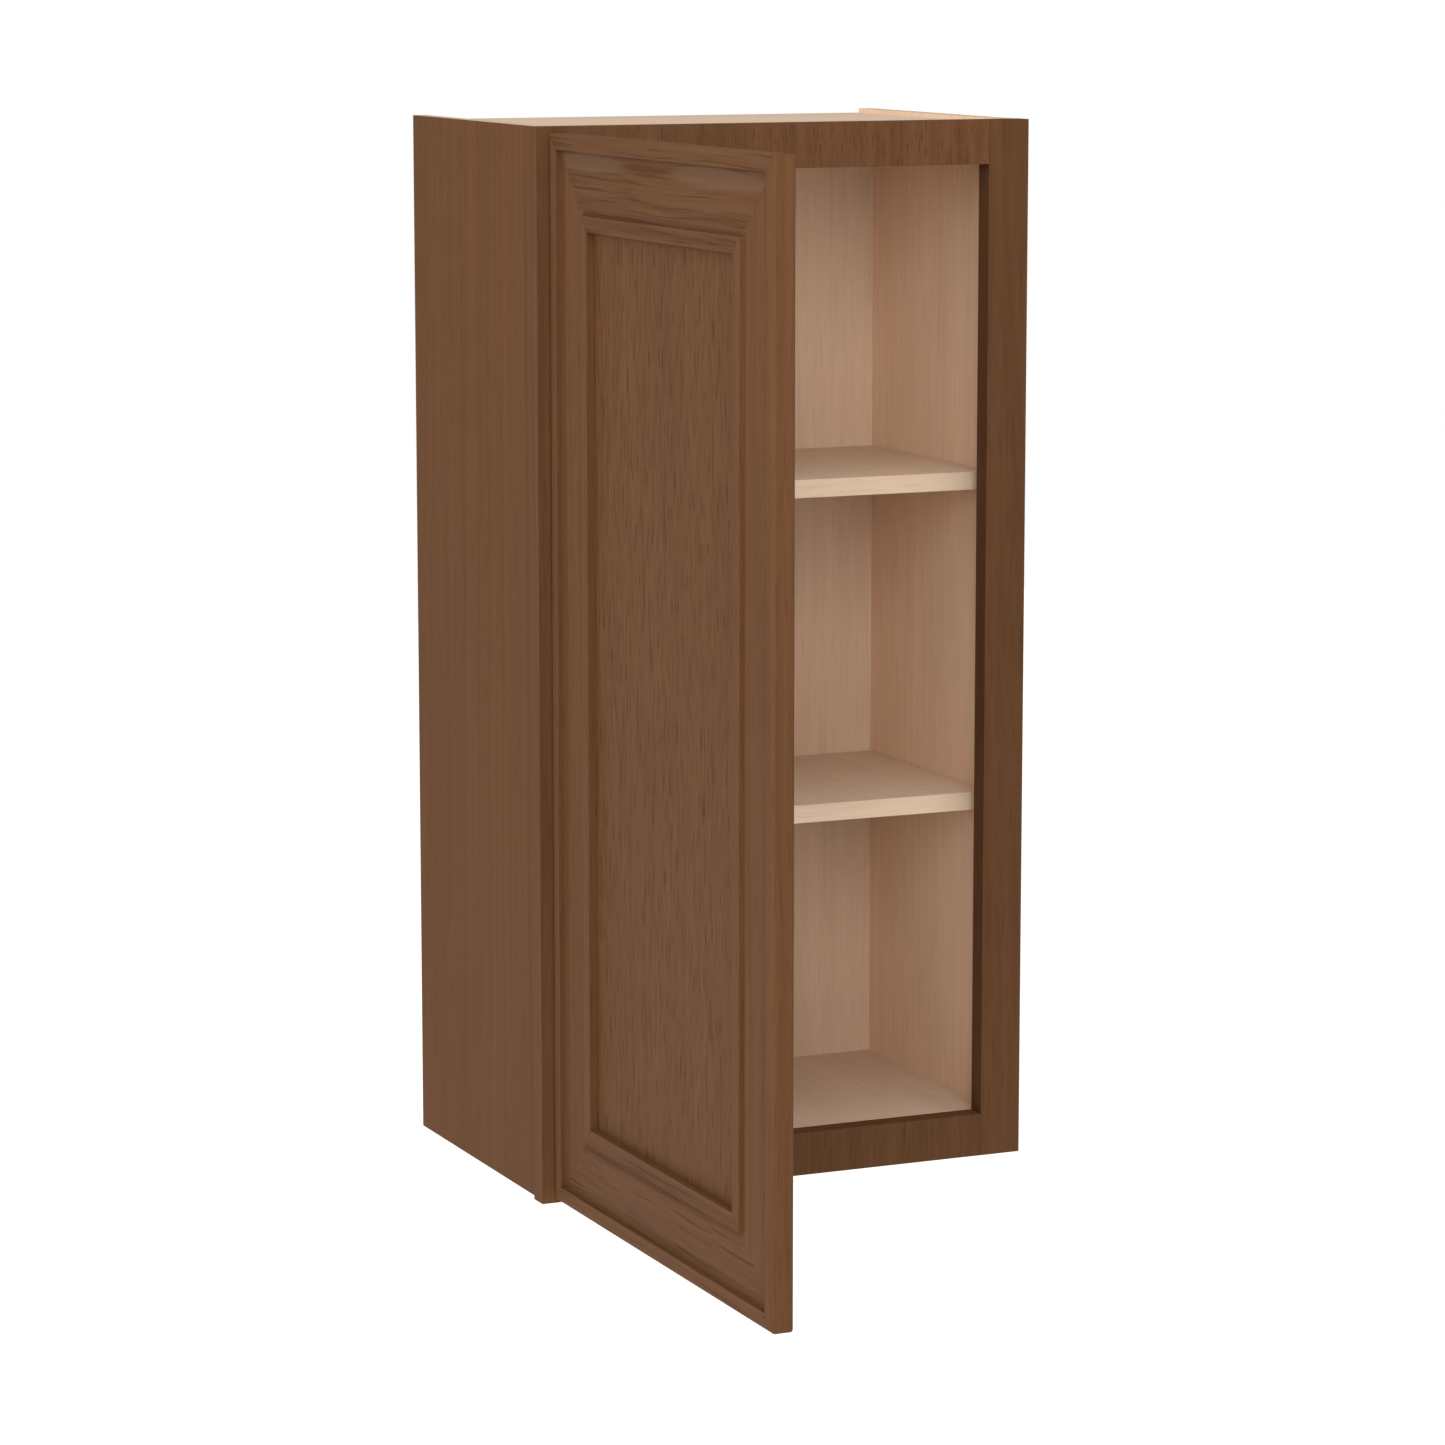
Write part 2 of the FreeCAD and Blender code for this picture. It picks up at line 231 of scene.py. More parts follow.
def scaled(tree, colour, amount):
    return addNode(tree, "VectorMath", {0: colour, "Scale": amount}, operation="SCALE").outputs[0]


def between(tree, value, low, high, outLow=0.0, outHigh=1.0):
    return addNode(tree, "MapRange", {"Value": value, "From Min": low, "From Max": high,
                                      "To Min": outLow, "To Max": outHigh}).outputs["Result"]


def ramp(tree, value, stops):
    stops = list(stops)
    node = addNode(tree, "ValToRGB", {"Fac": value})
    band = node.color_ramp
    while len(band.elements) < len(stops):
        band.elements.new(0.5)
    for element, (place, colour) in zip(band.elements, stops):
        element.position = place
        element.color = (*colour, 1.0)
    return node.outputs["Color"]


def blendColour(tree, amount, below, above):
    # sockets 0, 6 and 7 of a Mix node take the amount and the two colours
    below, above = ((*c, 1.0) if isinstance(c, tuple) else c for c in (below, above))
    node = addNode(tree, "Mix", {0: amount, 6: below, 7: above}, data_type="RGBA", blend_type="MIX")
    return node.outputs[2]


def hazy(tree, value, low, high):
    # a noise value, spread over a range
    return between(tree, value, *noiseMiddle, low, high)


def addBump(tree, shader, height, strength, distance):
    node = addNode(tree, "Bump", {"Height": height, "Strength": strength, "Distance": distance})
    tree.links.new(node.outputs[0], shader.inputs["Normal"])


# wood: long fibres, growth rings, pores and a slow cloud of tone

brownStain = {
    "dark": (0.098, 0.0415, 0.0170), "mid": (0.131, 0.0578, 0.0245), "light": (0.154, 0.0745, 0.0340),
    "pore": (0.074, 0.0310, 0.0125), "tone": 1.0,
    "fibre": 0.62, "rings": 0.20, "pores": 0.34, "cloud": 0.035,
    "fibreAcross": 120.0, "fibreAlong": 1.8, "poreAcross": 700.0, "poreAlong": 26.0,
    "ringCount": 120.0, "ringHeart": (0.02, -0.06, 0.0), "ringTilt": (1.5, 2.5),
    "rough": (0.50, 0.64), "specular": 0.05, "bump": 0.16, "wander": 0.012,
}
plainMaple = {
    "dark": (0.600, 0.430, 0.300), "mid": (0.700, 0.520, 0.380), "light": (0.770, 0.590, 0.445),
    "pore": (0.500, 0.340, 0.230), "tone": 1.0,
    "fibre": 0.50, "rings": 0.08, "pores": 0.22, "cloud": 0.03,
    "fibreAcross": 150.0, "fibreAlong": 3.0, "poreAcross": 560.0, "poreAlong": 24.0,
    "ringCount": 60.0, "ringHeart": (0.03, -0.04, 0.0), "ringTilt": (2.0, 3.0),
    "rough": (0.48, 0.60), "specular": 0.10, "bump": 0.08, "wander": 0.012,
}
rawPly = {"pale": (0.70, 0.53, 0.37), "mid": (0.60, 0.43, 0.29), "deep": (0.44, 0.29, 0.18),
          "layers": 420.0, "fibre": (380, 380, 380), "fibreShare": 0.5, "stops": (0.30, 0.42, 0.65)}
# what all wood here shares: scales are per metre, across and along the grain
pattern = {
    "wanderScale": (9, 9, 4), "wanderSeed": (7.3, 3.1, 5.7), "boardSeed": (3.17, 1.93, 2.41),
    "ringSeed": 0.37, "ringDetail": 2.5, "ringRoughness": 0.6,
    "fibreDetail": 6.0, "fibreRoughness": 0.72, "poreDetail": 1.0, "poreEdge": (0.56, 0.70),
    "cloudScale": (14, 14, 3), "stops": (0.30, 0.5, 0.70), "bumpDepth": 0.2 * mm,
    "spotScale": (300, 300, 14), "spotDetail": 3.0, "spotRagged": 0.8, "spotEdge": (0.7, 1.05),
    # how ragged and how soft the painted shade lines in the moulding's corners are
    "glazeRagged": 0.6, "glazeFade": 1.6,
}


def grainSpace(tree, axis, seed, reach):
    # in this space Z runs along the grain, whichever way the board lies
    place = addNode(tree, "TexCoord").outputs["Object"]
    parts = addNode(tree, "SeparateXYZ", {0: place}).outputs
    order = {"X": (1, 2, 0), "Y": (0, 2, 1), "Z": (0, 1, 2)}[axis]
    turned = addNode(tree, "CombineXYZ", {i: parts[n] for i, n in enumerate(order)}).outputs[0]
    # each board is cut from its own place in the tree, and its fibres wander a little
    shift = tuple(seed * step for step in pattern["wanderSeed"])
    wander = noise(tree, stretched(tree, turned, pattern["wanderScale"], shift), output="Color")
    wander = vectorCalc(tree, "MULTIPLY", vectorCalc(tree, "SUBTRACT", wander, (0.5, 0.5, 0.5)),
                        (reach, reach, 0.0))
    return vectorCalc(tree, "ADD", turned, wander)


def growthRings(tree, space, look, seed):
    # distance from a heart line that leans away from the board gives straight grain and arches
    lean = tuple(math.radians(a) for a in look["ringTilt"])
    heart = addNode(tree, "Mapping", {"Vector": space, "Rotation": (lean[0], lean[1], 0),
                                      "Location": look["ringHeart"]}).outputs[0]
    flat = vectorCalc(tree, "MULTIPLY", heart, (1, 1, 0))
    reach = vectorCalc(tree, "LENGTH", flat, output="Value")
    node = addNode(tree, "TexNoise", {"W": calc(tree, "ADD", reach, seed * pattern["ringSeed"]),
                                      "Scale": look["ringCount"], "Detail": pattern["ringDetail"],
                                      "Roughness": pattern["ringRoughness"]},
                   noise_dimensions="1D")
    return node.outputs["Fac"]


def wood(name, base, axis, seed, ply=None, **changes):
    look = {**base, **changes}
    material, tree, shader = newMaterial(name)
    space = grainSpace(tree, axis, seed, look["wander"])
    shift = tuple(seed * step for step in pattern["boardSeed"])
    fibreScale = (look["fibreAcross"], look["fibreAcross"], look["fibreAlong"])
    fibre = noise(tree, stretched(tree, space, fibreScale, shift), detail=pattern["fibreDetail"],
                  roughness=pattern["fibreRoughness"])
    rings = growthRings(tree, space, look, seed)
    poreScale = (look["poreAcross"], look["poreAcross"], look["poreAlong"])
    pores = noise(tree, stretched(tree, space, poreScale, shift), detail=pattern["poreDetail"])
    pores = between(tree, pores, *pattern["poreEdge"])
    level = 0.5 - (look["fibre"] + look["rings"]) / 2
    tone = calc(tree, "MULTIPLY_ADD", rings, look["rings"], level)
    tone = calc(tree, "MULTIPLY_ADD", fibre, look["fibre"], tone)
    colour = ramp(tree, tone, zip(pattern["stops"], (look["dark"], look["mid"], look["light"])))
    colour = blendColour(tree, calc(tree, "MULTIPLY", pores, look["pores"]), colour, look["pore"])
    cloud = noise(tree, stretched(tree, space, pattern["cloudScale"], shift))
    cloud = hazy(tree, cloud, look["tone"] * (1 - look["cloud"]), look["tone"] * (1 + look["cloud"]))
    colour = scaled(tree, colour, cloud)
    # spots of grain figure; the pale ones on the door's top rail are partly painted highlight
    for spot in look.get("grainAndHighlightSpots", ()):
        colour = grainAndHighlightSpot(tree, space, colour, spot)
    # dark lines of painted shade in the moulding's corners
    if "glaze" in look:
        colour = glazeLines(tree, colour, look["glaze"], fibre)
    if ply:
        colour = pliedEdges(tree, colour, ply, shift)
    tree.links.new(colour, shader.inputs["Base Color"])
    tree.links.new(hazy(tree, fibre, *look["rough"]), shader.inputs["Roughness"])
    shader.inputs["Specular IOR Level"].default_value = look["specular"]
    addBump(tree, shader, calc(tree, "SUBTRACT", fibre, pores), look["bump"], pattern["bumpDepth"])
    return material


def grainAndHighlightSpot(tree, space, colour, spot):
    # a spot with ragged ends where the fibres dive and the stain takes less, or more; the pale ones on
    # the top rail are partly painted highlight where the cove faces the light
    away = vectorCalc(tree, "DIVIDE", vectorCalc(tree, "SUBTRACT", space, spot["at"]), spot["reach"])
    away = vectorCalc(tree, "LENGTH", away, output="Value")
    ragged = noise(tree, stretched(tree, space, pattern["spotScale"]), detail=pattern["spotDetail"])
    away = calc(tree, "SUBTRACT", away, pattern["spotRagged"] / 2)
    edge = calc(tree, "MULTIPLY_ADD", ragged, pattern["spotRagged"], away)
    amount = between(tree, edge, *pattern["spotEdge"], spot["strength"], 0.0)
    return blendColour(tree, amount, colour, spot["colour"])


def glazeLines(tree, colour, glaze, ragged):
    # painted shade in the corners of the moulding, as lines at set distances from the door's outer edges
    place = addNode(tree, "SeparateXYZ", {0: addNode(tree, "TexCoord").outputs["Object"]}).outputs
    low, high = glaze["low"], glaze["high"]
    sides = [calc(tree, "SUBTRACT", place[1], low.y), calc(tree, "SUBTRACT", high.y, place[1]),
             calc(tree, "SUBTRACT", place[2], low.z), calc(tree, "SUBTRACT", high.z, place[2])]
    inward = calc(tree, "MINIMUM", calc(tree, "MINIMUM", sides[0], sides[1]),
                  calc(tree, "MINIMUM", sides[2], sides[3]))
    front = calc(tree, "LESS_THAN", place[0], low.x + glaze["depth"])
    for at, wide, strength in glaze["lines"]:
        off = calc(tree, "ABSOLUTE", calc(tree, "SUBTRACT", inward, at * mm))
        off = calc(tree, "MULTIPLY_ADD", ragged, wide * pattern["glazeRagged"] * mm, off)
        amount = between(tree, off, wide * mm, wide * pattern["glazeFade"] * mm, strength, 0.0)
        colour = blendColour(tree, calc(tree, "MULTIPLY", amount, front), colour, glaze["colour"])
    return colour


def pliedEdges(tree, colour, ply, shift):
    # the cut edges of a board show its layers; ply is the axis of its thickness
    coords = addNode(tree, "TexCoord").outputs
    axis = "XYZ".index(ply)
    facing = addNode(tree, "SeparateXYZ", {0: coords["Normal"]}).outputs[axis]
    edge = calc(tree, "LESS_THAN", calc(tree, "ABSOLUTE", facing), 0.5)
    place = addNode(tree, "SeparateXYZ", {0: coords["Object"]}).outputs[axis]
    layer = calc(tree, "PINGPONG", calc(tree, "MULTIPLY", place, rawPly["layers"]), 0.5)
    fibre = noise(tree, stretched(tree, coords["Object"], rawPly["fibre"], shift))
    layer = calc(tree, "ADD", layer, calc(tree, "MULTIPLY", fibre, rawPly["fibreShare"]))
    raw = ramp(tree, layer, zip(rawPly["stops"], (rawPly["deep"], rawPly["mid"], rawPly["pale"])))
    return blendColour(tree, edge, colour, raw)


# metal, rubber, soft plastic

metalLook = {"worn": 0.86, "fineDetail": 3.0, "cloud": (70, 70, 70), "stops": (0.35, 0.65),
             "glossDown": 0.06, "glossUp": 0.08, "bump": 0.08, "bumpDepth": 0.1 * mm}
plasticLook = {"grit": (1300, 1300, 1300), "fineDetail": 2.0, "cloud": (240, 240, 240),
               "stops": (0.35, 0.65), "glossDown": 0.05, "glossUp": 0.08, "bump": 0.06,
               "bumpDepth": 0.1 * mm}


def surface(name, look, low, high, roughness, fineScale):
    # two tones in slow clouds, and a fine grit in the gloss and the bump
    material, tree, shader = newMaterial(name)
    place = addNode(tree, "TexCoord").outputs["Object"]
    fine = noise(tree, stretched(tree, place, fineScale), detail=look["fineDetail"])
    cloud = noise(tree, stretched(tree, place, look["cloud"]))
    tree.links.new(ramp(tree, cloud, zip(look["stops"], (low, high))), shader.inputs["Base Color"])
    gloss = hazy(tree, fine, roughness - look["glossDown"], roughness + look["glossUp"])
    tree.links.new(gloss, shader.inputs["Roughness"])
    addBump(tree, shader, fine, look["bump"], look["bumpDepth"])
    return material, shader


def brushedMetal(name, colour, roughness, brush):
    worn = tuple(part * metalLook["worn"] for part in colour)
    material, shader = surface(name, metalLook, worn, colour, roughness, brush)
    shader.inputs["Metallic"].default_value = 1.0
    return material


def softPlastic(name, low, high, roughness, transmission=0.0):
    material, shader = surface(name, plasticLook, low, high, roughness, plasticLook["grit"])
    shader.inputs["Transmission Weight"].default_value = transmission
    return material


nickel = brushedMetal("nickelSteel", (0.66, 0.64, 0.60), 0.30, (900, 900, 60))
zinc = brushedMetal("zincScrew", (0.62, 0.62, 0.60), 0.36, (1200, 1200, 1200))
spacerRubber = softPlastic("spacerRubber", (0.03, 0.03, 0.03), (0.06, 0.06, 0.06), 0.7)
bumperGel = softPlastic("bumperGel", (0.70, 0.70, 0.68), (0.80, 0.80, 0.78), 0.22, 0.5)
beech = wood("beechJoinery", plainMaple, "X", 9, mid=(0.56, 0.38, 0.24))
print("materials ready")


# camera, light, floor

shot = {"place": (-1.7197, -4.0532, 0.6077), "yaw": 23.878, "pitch": 9.130, "lens": 120.96,
        "sensor": 36.0, "farthest": 200.0}
lights = {
    "overheadSoft": {"place": (-0.3, -1.3, 2.6), "aim": (0.0, -0.2, 0.0), "size": 2.6, "watts": 38},
    "leftSoft": {"place": (-3.6, -1.0, 1.2), "aim": (0.0, -0.2, 0.0), "size": 2.4, "watts": 46},
    "frontSoft": {"place": (-1.5, -4.1, 1.7), "aim": (0.0, -0.1, 0.0), "size": 2.2, "watts": 76},
}
room = {
    "skyLight": 0.40, "skyColour": (1.0, 0.985, 0.965, 1), "seenColour": (1, 1, 1, 1), "seenLight": 1.0,
    "floorDrop": 4.0, "floorSize": 60.0, "floorGlow": 0.80, "glowColour": (1.0, 0.972, 0.935, 1),
    "paint": [(0.3, (0.93, 0.93, 0.93)), (0.7, (0.96, 0.96, 0.96))], "paintCloud": (1.5, 1.5, 1.5),
    "paintDetail": 3.0, "paintRough": 0.9, "paintSpecular": 0.1,
}


def makeCamera():
    data = bpy.data.cameras.new("viewCamera")
    data.lens = shot["lens"]
    data.sensor_width = shot["sensor"]
    data.clip_end = shot["farthest"]
    camera = bpy.data.objects.new("viewCamera", data)
    camera.location = shot["place"]
    camera.rotation_euler = (math.radians(90 - shot["pitch"]), 0, -math.radians(shot["yaw"]))
    bpy.context.scene.collection.objects.link(camera)
    bpy.context.scene.camera = camera


def makeLights():
    for name, light in lights.items():
        data = bpy.data.lights.new(name, "AREA")
        data.size = light["size"]
        data.energy = light["watts"]
        lamp = bpy.data.objects.new(name, data)
        lamp.location = light["place"]
        toward = Vector(light["aim"]) - lamp.location
        lamp.rotation_euler = toward.to_track_quat("-Z", "Y").to_euler()
        bpy.context.scene.collection.objects.link(lamp)


def makeSky():
    # an even white studio: the background stays white, the room's own light is softer
    world = bpy.data.worlds.new("studio")
    bpy.context.scene.world = world
    world.use_nodes = True
    tree = world.node_tree
    seen = tree.nodes["Background"]
    seen.inputs["Color"].default_value = room["seenColour"]
    seen.inputs["Strength"].default_value = room["seenLight"]
    sky = addNode(tree, "Background", {"Color": room["skyColour"], "Strength": room["skyLight"]})
    path = addNode(tree, "LightPath")
    both = addNode(tree, "MixShader", {0: path.outputs["Is Camera Ray"], 1: sky.outputs[0],
                                       2: seen.outputs[0]})
    tree.links.new(both.outputs[0], tree.nodes["World Output"].inputs["Surface"])


def makeFloor():
    low = cadBounds[0].z - room["floorDrop"]
    deselect()
    bpy.ops.mesh.primitive_plane_add(size=room["floorSize"], location=(0, 0, low))
    floor = rename(bpy.context.object, "floor")
    settle(floor)
    material, tree, shader = newMaterial("floorPaint")
    place = addNode(tree, "TexCoord").outputs["Object"]
    cloud = noise(tree, stretched(tree, place, room["paintCloud"]), detail=room["paintDetail"])
    tree.links.new(ramp(tree, cloud, room["paint"]), shader.inputs["Base Color"])
    shader.inputs["Roughness"].default_value = room["paintRough"]
    shader.inputs["Specular IOR Level"].default_value = room["paintSpecular"]
    shader.inputs["Emission Color"].default_value = room["glowColour"]
    shader.inputs["Emission Strength"].default_value = room["floorGlow"]
    paint(floor, material)


makeCamera()
makeLights()
makeSky()
makeFloor()
bpy.context.scene.view_settings.view_transform = "Standard"
print("camera, light and floor ready")


# face frame: four bars, all with upright grain

faceFrame = {
    "ease": 0.7 * mm,
    # piece: its node, the seed of its grain, and how its wood differs
    "bars": {
        # the tones darken the bottom rail most and the right stile less than the top rail: painted
        # shade, as from light falling from above
        "frameStileLeft": ("frame_stile_left", 1.0, {"tone": 0.94}),
        "frameStileRight": ("frame_stile_right", 2.0, {"tone": 0.86}),
        "frameRailTop": ("frame_rail_top", 3.0, {"fibreAlong": 6.0, "pores": 0.6, "poreAlong": 70.0,
                                                 "tone": 0.97}),
        "frameRailBottom": ("frame_rail_bottom", 4.0, {"fibreAlong": 5.0, "pores": 0.5,
                                                       "tone": 0.80}),
    },
}


def makeFaceFrame():
    for name, (node, seed, changes) in faceFrame["bars"].items():
        bar = cadCopy(node, name)
        easeEdges(bar, faceFrame["ease"])
        smoothBy(bar)
        finishPiece(bar, "cabinet", node,
                    wood(name, brownStain, "Z", seed, **changes))


# case: sides with a stained skin, top, floor, back and hanging rails

caseLook = {
    "ease": 0.3 * mm,
    # side: the seeds of its core and of its skin, and the tone of its core
    # the right core's tone of 1.2 lightens the cabinet's inside right wall: painted light
    "sides": {"left": (5.0, 5.5, 1.0), "right": (6.0, 6.5, 1.20)},
    "skin": {"fibreAlong": 0.8, "pores": 0.3, "specular": 0.03, "fibre": 0.45},
    # node: material, way of the grain, seed, and how its wood differs
    "boards": {
        "top_panel": ("mapleTop", "X", 7.0, {"ply": "Z"}),
        "bottom_panel": ("mapleFloor", "Y", 8.0, {"ply": "Z", "tone": 0.9}),
        "back_panel": ("mapleBack", "Z", 8.5, {"tone": 1.05}),
        "hang_rail_lower": ("railWoodLow", "X", 9.5, {}),
        "hang_rail_upper": ("railWoodHigh", "X", 10.5, {}),
    },
}


def makeCase():
    for side, (coreSeed, skinSeed, tone) in caseLook["sides"].items():
        title = "Side" + side.capitalize()
        node = "side_panel_" + side
        core = cadCopy(node, "sidePanel" + side.capitalize())
        easeEdges(core, caseLook["ease"])
        smoothBy(core)
        finishPiece(core, "cabinet", node,
                    wood("maple" + title, plainMaple, "Z", coreSeed, ply="X", tone=tone))
        dress("side_skin_" + side, wood("veneer" + title, brownStain, "Z", skinSeed, **caseLook["skin"]))
    for node, (name, axis, seed, changes) in caseLook["boards"].items():
        dress(node, wood(name, plainMaple, axis, seed, **changes))


# shelves: boards, their front bands and the pins they rest on

shelfLook = {
    "bandEase": 0.45 * mm, "bandSteps": 3, "pinEase": 0.3 * mm, "tone": 0.92,
    "band": {"cloud": 0.08, "fibreAcross": 70.0, "fibreAlong": 12.0, "tone": 0.95},
    # body: the seeds of its board and of its band
    "seeds": {"upper_shelf": (11.0, 11.3), "lower_shelf": (12.0, 12.3)},
}


def makeShelves():
    for body, (boardSeed, bandSeed) in shelfLook["seeds"].items():
        title = body.split("_")[0] + "Shelf"
        dress(body, wood(title + "Maple", plainMaple, "Y", boardSeed, ply="Z", tone=shelfLook["tone"]))
        band = cadCopy(body + "_edge_band", title + "Band")
        easeEdges(band, shelfLook["bandEase"], shelfLook["bandSteps"])
        smoothBy(band)
        finishPiece(band, body, body + "_edge_band",
                    wood(title + "BandMaple", plainMaple, "X", bandSeed, **shelfLook["band"]))
        pins = cadCopy(body + "_pins", title + "Pins")
        easeEdges(pins, shelfLook["pinEase"])
        smoothBy(pins)
        finishPiece(pins, "cabinet", body + "_pins", zinc)


# door: four moulded bars with mitred corners around a recessed panel

door = {
    "bar": 77.8 * mm, "thick": 19.05 * mm, "round": 3.0 * mm, "roundSteps": 5,
    "ease": 0.35 * mm, "easeSteps": 2, "edgeAngle": 40,
    "panelDrop": 8.0 * mm, "panelThick": 6.0 * mm, "groove": 11.0 * mm, "panelEase": 0.4 * mm,
    "panelSeed": 17.0,
    # the moulded face, in mm: distance from the outer edge, drop below the front, smooth run or not
    "face": [(13.6, 0, False), (13.8, 4.9, False), (14.4, 5.2, False), (19, 5.2, False),
             (27, 4.0, True), (50, 4.0, False), (53.5, 3.1, True), (57, 3.1, False),
             (62.6, 4.4, True), (64.3, 4.4, False), (64.7, 0.9, False), (77.8, 0.9, False)],
    "runSteps": 5,
    "cupRadius": 17.5 * mm, "cupDepth": 12.0 * mm, "cupRim": 1.5 * mm, "cupSides": 72,
    # painted shade in the corners of the moulding: how deep it reaches, its colour, and lines, each with
    # its distance from the outer edge and its half width in mm, and its strength
    "glazeDepth": 10.0 * mm, "glazeColour": (0.075, 0.030, 0.0105),
    "glazeLines": [(13.9, 0.5, 0.25), (62.9, 1.2, 0.15)],
}
railFigure = {"fibre": 0.85, "rings": 0.40, "pores": 0.62, "fibreAcross": 130.0, "fibreAlong": 2.2,
              "poreAcross": 420.0, "poreAlong": 7.0, "pore": (0.060, 0.0245, 0.0095)}
panelFigure = {"fibre": 0.85, "rings": 0.12, "pores": 0.66, "fibreAcross": 240.0, "fibreAlong": 16.0,
               "poreAcross": 410.0, "poreAlong": 40.0, "pore": (0.062, 0.0255, 0.0085),
               "wander": 0.003, "bump": 0.08}
# two pale spots, partly grain figure and partly painted highlight where the cove faces the light, and a
# dark grain spot
# on the top rail: their place along from the hinged edge and down from the top edge, and their reach
# into the wood, up and down, and along
railGrainAndHighlightSpots = [
    {"along": 75 * mm, "down": 22 * mm, "reach": (30 * mm, 8.5 * mm, 85 * mm), "strength": 0.80,
     "colour": (0.150, 0.080, 0.046)},
    {"along": 335 * mm, "down": 23 * mm, "reach": (30 * mm, 9.5 * mm, 115 * mm), "strength": 0.85,
     "colour": (0.150, 0.080, 0.046)},
    {"along": 195 * mm, "down": 21 * mm, "reach": (30 * mm, 3.5 * mm, 60 * mm), "strength": 0.40,
     "colour": (0.070, 0.028, 0.0105)},
]
topRailTone = 0.96


def quarterRound(radius, steps):
    # points of a rounded corner, from the outer edge to the face
    turns = [math.pi / 2 * i / steps for i in range(steps + 1)]
    return [(radius - radius * math.cos(turn), radius - radius * math.sin(turn)) for turn in turns]


def barOutline():
    # across one bar: distance from its outer edge, and down from its front face
    thick = door["thick"]
    corner = quarterRound(door["round"], door["roundSteps"])
    points = list(corner)
    for across, drop, smooth in door["face"]:
        across, drop = across * mm, drop * mm
        lastAcross, lastDrop = points[-1]
        steps = door["runSteps"] if smooth else 1
        for i in range(1, steps + 1):
            share = i / steps
            swell = (1 - math.cos(math.pi * share)) / 2 if smooth else share
            points.append((lastAcross + (across - lastAcross) * share,
                           lastDrop + (drop - lastDrop) * swell))
    bar, slotTop = door["bar"], door["panelDrop"]
    slotLow = slotTop + door["panelThick"]
    points += [(bar, slotTop), (bar - door["groove"], slotTop), (bar - door["groove"], slotLow),
               (bar, slotLow), (bar, thick)]
    points += [(across, thick - drop) for across, drop in reversed(corner)]
    return points


def mouldedBar(name, corner, across, along, length):
    # the outline is drawn by extruding one point, filled, run out and mitred at both ends
    deselect()
    bpy.ops.mesh.primitive_plane_add(size=1 * mm, location=corner)
    bar = rename(bpy.context.object, name)
    settle(bar)
    outline = [across * out + Vector((drop, 0, 0)) for out, drop in barOutline()]
    bpy.ops.object.mode_set(mode="EDIT")
    bpy.ops.mesh.select_mode(type="VERT")
    bpy.ops.mesh.select_all(action="SELECT")
    bpy.ops.mesh.merge(type="CENTER")
    bpy.ops.transform.translate(value=outline[0])
    for here, there in zip(outline, outline[1:]):
        bpy.ops.mesh.extrude_region_move(TRANSFORM_OT_translate={"value": there - here})
    bpy.ops.mesh.select_all(action="SELECT")
    bpy.ops.mesh.edge_face_add()
    bpy.ops.mesh.extrude_region_move(TRANSFORM_OT_translate={"value": along * length})
    for end, way in ((Vector(corner), -1), (Vector(corner) + along * length, 1)):
        bpy.ops.mesh.select_all(action="SELECT")
        bpy.ops.mesh.bisect(plane_co=end, plane_no=along * way + across, use_fill=True,
                            clear_outer=True)
    bpy.ops.mesh.select_all(action="SELECT")
    bpy.ops.mesh.normals_make_consistent(inside=False)
    bpy.ops.object.mode_set(mode="OBJECT")
    return bar


def cupBore(side):
    # the round pocket that the hinge cup sits in
    low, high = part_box("hinge_cup_" + side)
    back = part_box("door_stile_hinged")[1].x
    deselect()
    centre = (back - door["cupDepth"] / 2, low.y + door["cupRadius"] + door["cupRim"],
              (low.z + high.z) / 2)
    bpy.ops.mesh.primitive_cylinder_add(vertices=door["cupSides"], radius=door["cupRadius"],
                                        depth=door["cupDepth"], location=centre,
                                        rotation=(0, math.pi / 2, 0))
    settle(bpy.context.object)
    return bpy.context.object


